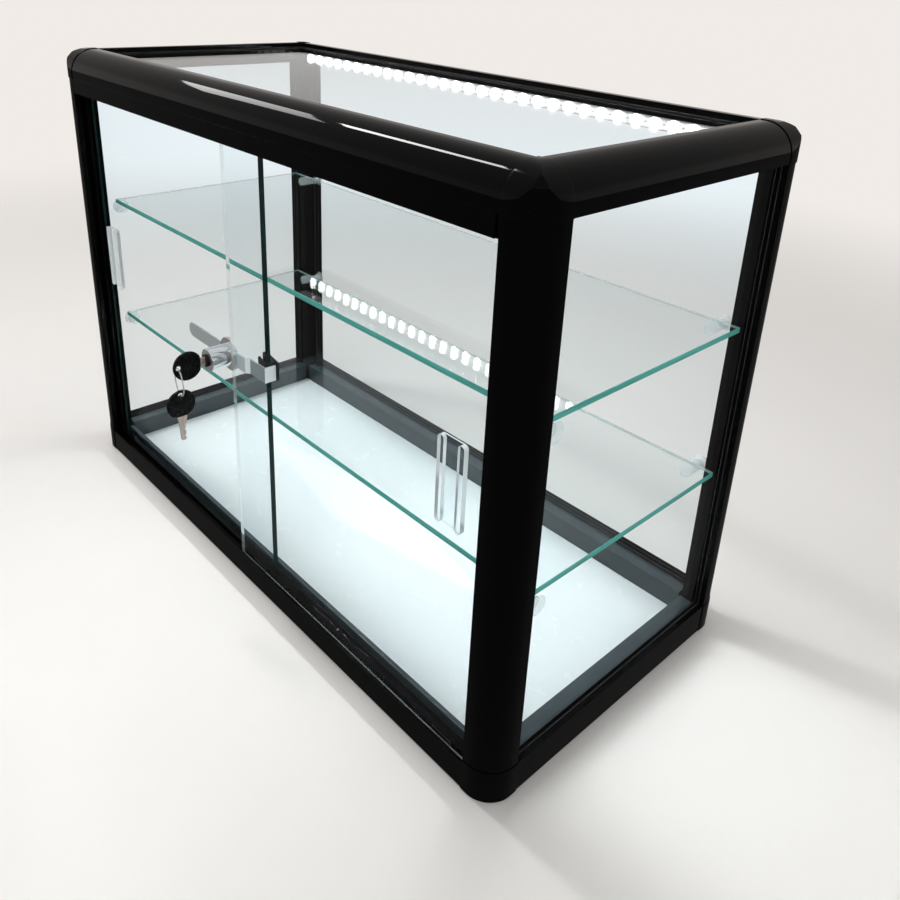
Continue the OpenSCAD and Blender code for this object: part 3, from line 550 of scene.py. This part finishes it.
bmesh.ops.transform(bm, matrix=socket_axis, verts=bm.verts)
piece("socket_contact", bm, "case", "socket_black", plated)

# Header: a pressed gloss black fascia clipped under the front top rail, and behind it the upper
# door track, an extrusion with a groove for each door.
HEADER_ARRIS = 0.25 * MM

header_black = surface(
    "header_black", tone(3, 3, 4), tone(7, 7, 8), (0.03, 0.07), 60, Specular_IOR_Level=0.07)
for node in ("door_fascia", "upper_door_track"):
    eased(node, HEADER_ARRIS, "case", "header_black", header_black)

# Doors: two plates of float glass with polished edges. The right one slides in the outer groove and
# the left one behind it, each on two nylon glides pushed over its lower edge.
DOOR_ARRIS, GLIDE_ARRIS = 0.6 * MM, 0.4 * MM

door_glass = clear("door_glass", tone(250, 253, 254), 1.12, 0.012)
DOOR_EDGES = {
    "left": surface(
        "inner_door_edge", tone(3, 8, 8), tone(22, 54, 52), (0.08, 0.2), 30, stretch=(3, 3, 0.3),
        Specular_IOR_Level=0.15),
    # The outer door's edge is a pale half-clear colour, a painted highlight for the bright line
    # along its arris.
    "right": surface(
        "outer_door_edge_painted_highlight", tone(214, 224, 224), tone(236, 242, 242), (0.1, 0.2), 60,
        stretch=(3, 3, 0.3), Alpha=0.3),
}
nylon = surface("glide_nylon", tone(18, 18, 19), tone(30, 30, 31), (0.35, 0.5), 400)
for side in ("left", "right"):
    body = side + "_door"
    plate(
        body + "_plate", body + "_glass", 1, DOOR_ARRIS, body, "door_glass", door_glass,
        DOOR_EDGES[side])
    eased(body + "_glides", GLIDE_ARRIS, body, "glide_nylon", nylon)

# Pulls: clear acrylic mouldings, a thin plate with two round-topped ribs, stuck on the front of the
# doors with a film of clear glue.
PULL_ROUND, GLUE_FILM = 0.9 * MM, 0.05 * MM

acrylic = clear("pull_acrylic", tone(246, 250, 251), 1.12, 0.05, scale=200)
# The sides of the plate and ribs are a pale near-white, a painted glow for the light that acrylic
# edges gather.
acrylic_rim_painted_glow = surface(
    "pull_rim_painted_glow", tone(232, 238, 240), tone(248, 251, 252), (0.08, 0.16), 200, Alpha=0.6)


def on_a_rim(face):
    """Whether a face of a pull is on the side of its plate or of a rib, which takes a pale
    near-white, a painted glow for the light these edges gather.
    """
    return abs(face.normal.y) < 0.6


for side in ("left", "right"):
    pull = eased(
        side + "_door_pull", PULL_ROUND, side + "_door", "clear_plastic", acrylic, acrylic_rim_painted_glow,
        segments=4, which=on_a_rim)
    pull.data.transform(Matrix.Translation((0, -GLUE_FILM, 0)))

# Lock: a chromed die-cast body that slides along the notches of a pressed steel bar to the outer
# door. The bar's hook goes round the edge of the inner door. It has a rubber liner that stands
# above the metal, and its back leg is dipped in rubber.
BAR_ARRIS, LINER_ARRIS, BODY_ARRIS = 0.2 * MM, 0.25 * MM, 0.25 * MM
PLUG_ARRIS, PAWL_ARRIS = 0.4 * MM, 0.15 * MM
SET_BACK = 1.0 * MM
LINER_LIP, LINER_LIP_AT_END, NEAR_TOP = 6.5 * MM, 2.5 * MM, 0.5 * MM
DIP, DIP_TAIL = 1.4 * MM, 6.0 * MM

chrome = surface(
    "lock_chrome", tone(236, 238, 240), tone(244, 246, 248), (0.03, 0.07), 250, Metallic=0.85)
satin_steel = surface(
    "bar_satin_steel", tone(198, 211, 215), tone(220, 230, 233), (0.16, 0.26), 700,
    relief=0.0008 * MM, stretch=(0.06, 1, 1), Metallic=0.35,
)
# The hook's plate in front of the door is a darker grey, a painted dark reflection.
plate_painted_dark_reflection = surface(
    "hook_plate_painted_dark_reflection", tone(142, 154, 158), tone(168, 179, 182), (0.16, 0.26), 700,
    stretch=(1, 1, 0.06), Metallic=0.35,
)
# The bends and the hook's end that face right are near white, a painted highlight.
bends_painted_highlight = surface(
    "bend_painted_highlight", tone(244, 249, 250), tone(250, 253, 253), (0.1, 0.2), 700,
    stretch=(1, 1, 0.06), Metallic=0.1,
)
liner_lo, liner_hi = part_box("hook_liner")
bar_lo, bar_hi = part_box("lock_bar")
lock_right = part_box("lock_body")[1][0]


def bar_finish(face):
    """The number of a bar face's material: rubber on top of the hook, a painted dark reflection on
    the plate in front of the door, a painted highlight on the faces right of the lock that turn to
    the right, and satin elsewhere."""
    x, y, _ = face.calc_center_median()
    if x > liner_lo[0] and face.normal.z > 0.5:
        return 1
    if x > lock_right and face.normal.x > 0.15:
        return 3
    return 2 if face.normal.y < -0.9 and y > bar_lo[1] + SET_BACK else 0


def with_lip(mesh, top):
    """Raises the top of the rubber in the hook, more at the hook's open side than at its end."""
    middle = (liner_lo[0] + liner_hi[0]) / 2
    for v in mesh.vertices:
        if v.co.z > top - NEAR_TOP:
            v.co.z += LINER_LIP if v.co.x < middle else LINER_LIP_AT_END


eased(
    "lock_bar", BAR_ARRIS, "left_door", "lock_chrome", satin_steel, rubber, plate_painted_dark_reflection,
    bends_painted_highlight, which=bar_finish)
liner = eased("hook_liner", LINER_ARRIS, "left_door", "liner_rubber", rubber)
with_lip(liner.data, liner_hi[2])
bm = bmesh.new()
block(
    bm, (liner_lo[0] - DIP_TAIL, liner_hi[1] + GLUE_FILM, bar_lo[2] - DIP / 2),
    (bar_hi[0] + DIP, bar_hi[1] + DIP, bar_hi[2]), DIP / 2, segments=3)
dip = piece("hook_dip", bm, "left_door", "liner_rubber", rubber)
with_lip(dip.data, bar_hi[2] - DIP / 2)
eased("lock_body", BODY_ARRIS, "lock", "lock_chrome", chrome, segments=3)
plug_black = surface(
    "plug_black", tone(6, 6, 7), tone(12, 12, 13), (0.16, 0.28), 500, Specular_IOR_Level=0.3)
eased("lock_plug", PLUG_ARRIS, "plug", "plug_black", plug_black, segments=3)
nickel = surface(
    "key_nickel", tone(206, 188, 176), tone(224, 210, 200), (0.16, 0.28), 500,
    stretch=(1, 0.1, 1), Metallic=0.5,
)
eased("lock_pawl", PAWL_ARRIS, "plug", "key_nickel", nickel)

# Keys: stamped nickel-plated blades with a milled groove and cuts, moulded into black plastic
# heads. One is in the lock and carries the spare on a split ring, two close turns of spring wire.
BLADE_MID, BLADE_TIP = 6.4 * MM, 5.0 * MM
BLADE_SEAT, BLADE_SHOULDER = 8.0 * MM, 9.0 * MM
BLADE_SOFT, BLADE_POINT, BLADE_STEPS = 0.25 * MM, 1.5 * MM, 80
CUTS_AT = (19.0 * MM, 22.5 * MM, 26.0 * MM, 29.5 * MM)
CUTS_DEEP = (1.0 * MM, 1.6 * MM, 0.7 * MM, 1.3 * MM)
CUT_FLAT = 0.5 * MM
GROOVE = (-0.9 * MM, 0.5 * MM, 0.45 * MM)
HEAD_ARRIS = 0.35 * MM
RING_R, RING_WIRE, RING_TURN = 12.8 * MM, 1.4 * MM, -10.0


def milled_blade(node, body, along, ahead, wide):
    """A key blade in the place of a node. It runs along one axis, ahead or back, and is wide in
    another."""
    low, high = (Vector(corner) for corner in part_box(node))
    middle = (low + high) / 2
    thin = 3 - along - wide
    length, root = high[along] - low[along], high[wide] - low[wide]
    half_t, soft = (high[thin] - low[thin]) / 2, BLADE_SOFT
    bm = bmesh.new()
    rings = []
    for i in range(BLADE_STEPS + 1):
        s = length * i / BLADE_STEPS
        narrow = min(max((s - BLADE_SEAT) / BLADE_SHOULDER, 0), 1)
        taper = max(s - BLADE_SEAT - BLADE_SHOULDER, 0) / (length - BLADE_SEAT - BLADE_SHOULDER)
        half = (root + (BLADE_MID - root) * narrow + (BLADE_TIP - BLADE_MID) * taper) / 2
        point = max(s - length + BLADE_POINT, 0) * 0.7
        bites = [deep - max(abs(s - at) - CUT_FLAT, 0) for at, deep in zip(CUTS_AT, CUTS_DEEP)]
        back, edge = -half + point, half - max(0, point, *bites)
        start, end, deep = GROOVE if s > BLADE_SEAT else (GROOVE[0], GROOVE[1], 0)
        floor_t = half_t - deep
        outline = [
            (back, soft - half_t), (back + soft, -half_t),
            (start - soft, -half_t), (start, -floor_t), (end, -floor_t), (end + soft, -half_t),
            (edge - soft, -half_t), (edge, soft - half_t),
        ]
        outline += [(w, -t) for w, t in reversed(outline)]
        ring = []
        for w, t in outline:
            place = middle.copy()
            place[along] = low[along] + s if ahead else high[along] - s
            place[wide] += w
            place[thin] += t
            ring.append(bm.verts.new(place))
        rings.append(ring)
    for one, other in zip(rings, rings[1:]):
        for i in range(len(one)):
            j = (i + 1) % len(one)
            bm.faces.new((one[i], one[j], other[j], other[i]))
    bm.faces.new(rings[0])
    bm.faces.new(rings[-1])
    bmesh.ops.recalc_face_normals(bm, faces=bm.faces)
    made = piece("milled_" + node, bm, body, "key_nickel", nickel, sharp=25)
    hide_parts(node)


def coil_tree():
    """A close coil of wire about the Z axis, with an oval section."""
    tree = bpy.data.node_groups.new("coiled_wire", "GeometryNodeTree")
    face = tree.interface
    for name in ("Radius", "Turns", "Rise", "Wire"):
        face.new_socket(name, in_out="INPUT", socket_type="NodeSocketFloat")
    face.new_socket("Finish", in_out="INPUT", socket_type="NodeSocketMaterial")
    face.new_socket("Coil", in_out="OUTPUT", socket_type="NodeSocketGeometry")
    nodes, links = tree.nodes, tree.links
    given, made = nodes.new("NodeGroupInput"), nodes.new("NodeGroupOutput")
    path = nodes.new("GeometryNodeCurveSpiral")
    path.inputs["Resolution"].default_value = 72
    upright = nodes.new("GeometryNodeSetCurveNormal")
    upright.mode = "Z_UP"
    section = nodes.new("GeometryNodeCurvePrimitiveCircle")
    section.inputs["Resolution"].default_value = 12
    oval = nodes.new("GeometryNodeTransform")
    oval.inputs["Scale"].default_value = (1.0, 0.5, 1.0)
    sweep = nodes.new("GeometryNodeCurveToMesh")
    sweep.inputs["Fill Caps"].default_value = True
    real = nodes.new("GeometryNodeRealizeInstances")
    paint = nodes.new("GeometryNodeSetMaterial")
    links.new(given.outputs["Radius"], path.inputs["Start Radius"])
    links.new(given.outputs["Radius"], path.inputs["End Radius"])
    links.new(given.outputs["Turns"], path.inputs["Rotations"])
    links.new(given.outputs["Rise"], path.inputs["Height"])
    links.new(path.outputs["Curve"], upright.inputs["Curve"])
    links.new(given.outputs["Wire"], section.inputs["Radius"])
    links.new(section.outputs["Curve"], oval.inputs["Geometry"])
    links.new(upright.outputs["Curve"], sweep.inputs["Curve"])
    links.new(oval.outputs["Geometry"], sweep.inputs["Profile Curve"])
    links.new(sweep.outputs["Mesh"], real.inputs["Geometry"])
    links.new(real.outputs["Geometry"], paint.inputs["Geometry"])
    links.new(given.outputs["Finish"], paint.inputs["Material"])
    links.new(paint.outputs["Geometry"], made.inputs["Coil"])
    return tree


head_black = surface(
    "key_head_black", tone(4, 4, 5), tone(9, 9, 10), (0.2, 0.34), 350, relief=0.004 * MM,
    Specular_IOR_Level=0.25)
milled_blade("key_blade", "key", along=1, ahead=True, wide=2)
eased("key_head", HEAD_ARRIS, "key", "key_black", head_black)
milled_blade("spare_key_blade", "spare_key", along=2, ahead=False, wide=1)
eased("spare_key_head", HEAD_ARRIS, "spare_key", "key_black", head_black)
ring_steel = surface(
    "ring_steel", tone(226, 228, 230), tone(240, 242, 244), (0.08, 0.16), 400, Metallic=0.5)
ring = grown(
    "split_ring", bpy.data.meshes.new("split_ring"), coil_tree(), "key_ring", "key_nickel",
    Radius=RING_R, Turns=2.0, Rise=RING_WIRE / 2, Wire=RING_WIRE / 2, Finish=ring_steel)
ring_lo, ring_hi = (Vector(corner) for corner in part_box("key_ring"))
ring.data.transform(
    Matrix.Translation((ring_lo + ring_hi) / 2)
    @ Matrix.Rotation(math.radians(RING_TURN), 4, "Z")
    @ Matrix.Rotation(math.radians(90), 4, "X")
    @ Matrix.Translation((0, 0, -RING_WIRE / 4)))
ring.data.shade_smooth()
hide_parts("key_ring")

# Table: a broad pale top with a soft shine that takes the case's shadow and a faint reflection.
# Away from the case it fades into an even pale tone, so that no far edge shows.
FLOOR_R = 30.0
FADE = (0.7, 2.0)
IN_MIRROR = 0.16
PALE, PALE_THROUGH_GLASS = tone(240, 235, 230), tone(248, 252, 254)


def maths(tree, operation, *values):
    """The result of a Math node on values that are numbers or outputs of other nodes."""
    node = tree.nodes.new("ShaderNodeMath")
    node.operation = operation
    for socket, value in zip(node.inputs, values):
        if isinstance(value, bpy.types.NodeSocket):
            tree.links.new(value, socket)
        else:
            socket.default_value = value
    return node.outputs["Value"]


def pale(tree, path):
    """The even tone of the room, which is cooler where it is seen through glass."""
    blend = tree.nodes.new("ShaderNodeMix")
    blend.data_type = "RGBA"
    blend.inputs["A"].default_value = PALE
    blend.inputs["B"].default_value = PALE_THROUGH_GLASS
    tree.links.new(path.outputs["Is Transmission Ray"], blend.inputs["Factor"])
    return blend.outputs["Result"]


floor_pale = surface(
    "pale_table", tone(234, 231, 227), tone(238, 235, 231), (0.32, 0.34), 6, Specular_IOR_Level=0.2)
tree = floor_pale.node_tree
nodes, links = tree.nodes, tree.links
path = nodes.new("ShaderNodeLightPath")
place = nodes.new("ShaderNodeTexCoord")
reach = nodes.new("ShaderNodeVectorMath")
reach.operation = "LENGTH"
links.new(place.outputs["Object"], reach.inputs[0])
far = nodes.new("ShaderNodeMapRange")
far.interpolation_type = "SMOOTHSTEP"
far.inputs["From Min"].default_value, far.inputs["From Max"].default_value = FADE
links.new(reach.outputs["Value"], far.inputs["Value"])
glow = nodes.new("ShaderNodeEmission")
links.new(pale(tree, path), glow.inputs["Color"])
seen = maths(tree, "SUBTRACT", 1.0, path.outputs["Is Diffuse Ray"])
either = nodes.new("ShaderNodeMixShader")
links.new(maths(tree, "MULTIPLY", far.outputs["Result"], seen), either.inputs["Fac"])
links.new(nodes["Principled BSDF"].outputs["BSDF"], either.inputs[1])
links.new(glow.outputs["Emission"], either.inputs[2])
dim = nodes.new("ShaderNodeEmission")
dim.inputs["Color"].default_value = PALE
dim.inputs["Strength"].default_value = IN_MIRROR
shown = nodes.new("ShaderNodeMixShader")
links.new(maths(tree, "MINIMUM", path.outputs["Glossy Depth"], 1.0), shown.inputs["Fac"])
links.new(either.outputs["Shader"], shown.inputs[1])
links.new(dim.outputs["Emission"], shown.inputs[2])
links.new(shown.outputs["Shader"], nodes["Material Output"].inputs["Surface"])
bm = bmesh.new()
bmesh.ops.create_grid(bm, x_segments=1, y_segments=1, size=FLOOR_R)
table_mesh = bpy.data.meshes.new("table_top")
bm.to_mesh(table_mesh)
bm.free()
table_mesh.materials.append(floor_pale)
table = bpy.data.objects.new("table_top", table_mesh)
scene.collection.objects.link(table)

# Studio: a pale room, a large soft lamp overhead, two small ones at the left that shine on the
# frame, a weak one at the right, and the light strip's own light inside the case.
AMBIENT = 0.3
WALL_FOOT = (0.15, 0.3)
WALL_IN_MIRROR = (0.8, 0.55)
BOUNCES = 40

room = bpy.data.worlds.new("pale_room")
room.use_nodes = True
scene.world = room
tree = room.node_tree
nodes, links = tree.nodes, tree.links
ambient = nodes["Background"]
ambient.inputs["Color"].default_value = tone(250, 250, 252)
ambient.inputs["Strength"].default_value = AMBIENT
backdrop = nodes.new("ShaderNodeBackground")
path = nodes.new("ShaderNodeLightPath")
links.new(pale(tree, path), backdrop.inputs["Color"])
look = nodes.new("ShaderNodeTexCoord")
height = nodes.new("ShaderNodeSeparateXYZ")
links.new(look.outputs["Generated"], height.inputs["Vector"])
fall = nodes.new("ShaderNodeMapRange")
fall.interpolation_type = "SMOOTHSTEP"
fall.inputs["From Min"].default_value, fall.inputs["From Max"].default_value = WALL_FOOT
fall.inputs["To Min"].default_value, fall.inputs["To Max"].default_value = WALL_IN_MIRROR
links.new(height.outputs["Z"], fall.inputs["Value"])
level = nodes.new("ShaderNodeMix")
level.inputs["A"].default_value = 1.0
links.new(maths(tree, "MINIMUM", path.outputs["Glossy Depth"], 1.0), level.inputs["Factor"])
links.new(fall.outputs["Result"], level.inputs["B"])
links.new(level.outputs["Result"], backdrop.inputs["Strength"])
either = nodes.new("ShaderNodeMixShader")
links.new(maths(tree, "SUBTRACT", 1.0, path.outputs["Is Diffuse Ray"]), either.inputs["Fac"])
links.new(ambient.outputs["Background"], either.inputs[1])
links.new(backdrop.outputs["Background"], either.inputs[2])
links.new(either.outputs["Shader"], nodes["World Output"].inputs["Surface"])


def softbox(name, place, aim, size, power, seen=True, spread=180):
    """A rectangular lamp at place, turned towards aim, whose light spreads over so many degrees."""
    light = bpy.data.lights.new(name, "AREA")
    light.shape = "RECTANGLE"
    light.size, light.size_y = size
    light.energy = power
    light.spread = math.radians(spread)
    lamp = bpy.data.objects.new(name, light)
    lamp.location = place
    lamp.rotation_euler = (Vector(aim) - Vector(place)).to_track_quat("-Z", "Y").to_euler()
    lamp.visible_camera = False
    lamp.visible_glossy = seen
    lamp.visible_transmission = False
    scene.collection.objects.link(lamp)


softbox("overhead_lamp", (-0.1, 0.1, 2.2), (0, 0, 0.2), (2.4, 1.8), 24, seen=False)
softbox("left_key_lamp", (-0.85, -0.2, 1.5), (0.2, -0.1, 0.4), (0.12, 0.4), 7)
softbox("left_window_lamp", (-1.5, -0.25, 1.42), (0, -0.1, 0.4), (0.36, 0.36), 4)
softbox("right_fill_lamp", (1.7, -0.3, 1.1), (0, -0.1, 0.25), (0.9, 0.9), 2.5, seen=False)
strip_lo, strip_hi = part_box("led_board")
softbox(
    "strip_light", (0, strip_lo[1] - 6 * MM, strip_lo[2] - 4 * MM), (0, -0.2, 0),
    (0.8 * (strip_hi[0] - strip_lo[0]), 6 * MM), 0.25, seen=False, spread=75)

scene.cycles.max_bounces = BOUNCES
scene.cycles.transmission_bounces = BOUNCES
scene.cycles.transparent_max_bounces = BOUNCES

# Camera: a shifted view from the right front, as one sees the case over a counter.
CAMERA_PLACE = (0.6319, -0.5029, 0.5871)
YAW, PITCH, ROLL = 45.89, -21.91, 2.75
LENS, SENSOR, SHIFT = 33.87, 36.0, -0.1613

eye = bpy.data.cameras.new("counter_view")
eye.lens = LENS
eye.sensor_width = SENSOR
eye.shift_y = SHIFT
camera = bpy.data.objects.new("counter_view", eye)
camera.matrix_world = (
    Matrix.Translation(CAMERA_PLACE)
    @ Matrix.Rotation(math.radians(YAW), 4, "Z")
    @ Matrix.Rotation(math.radians(90 + PITCH), 4, "X")
    @ Matrix.Rotation(math.radians(ROLL), 4, "Z")
)
scene.collection.objects.link(camera)
scene.camera = camera
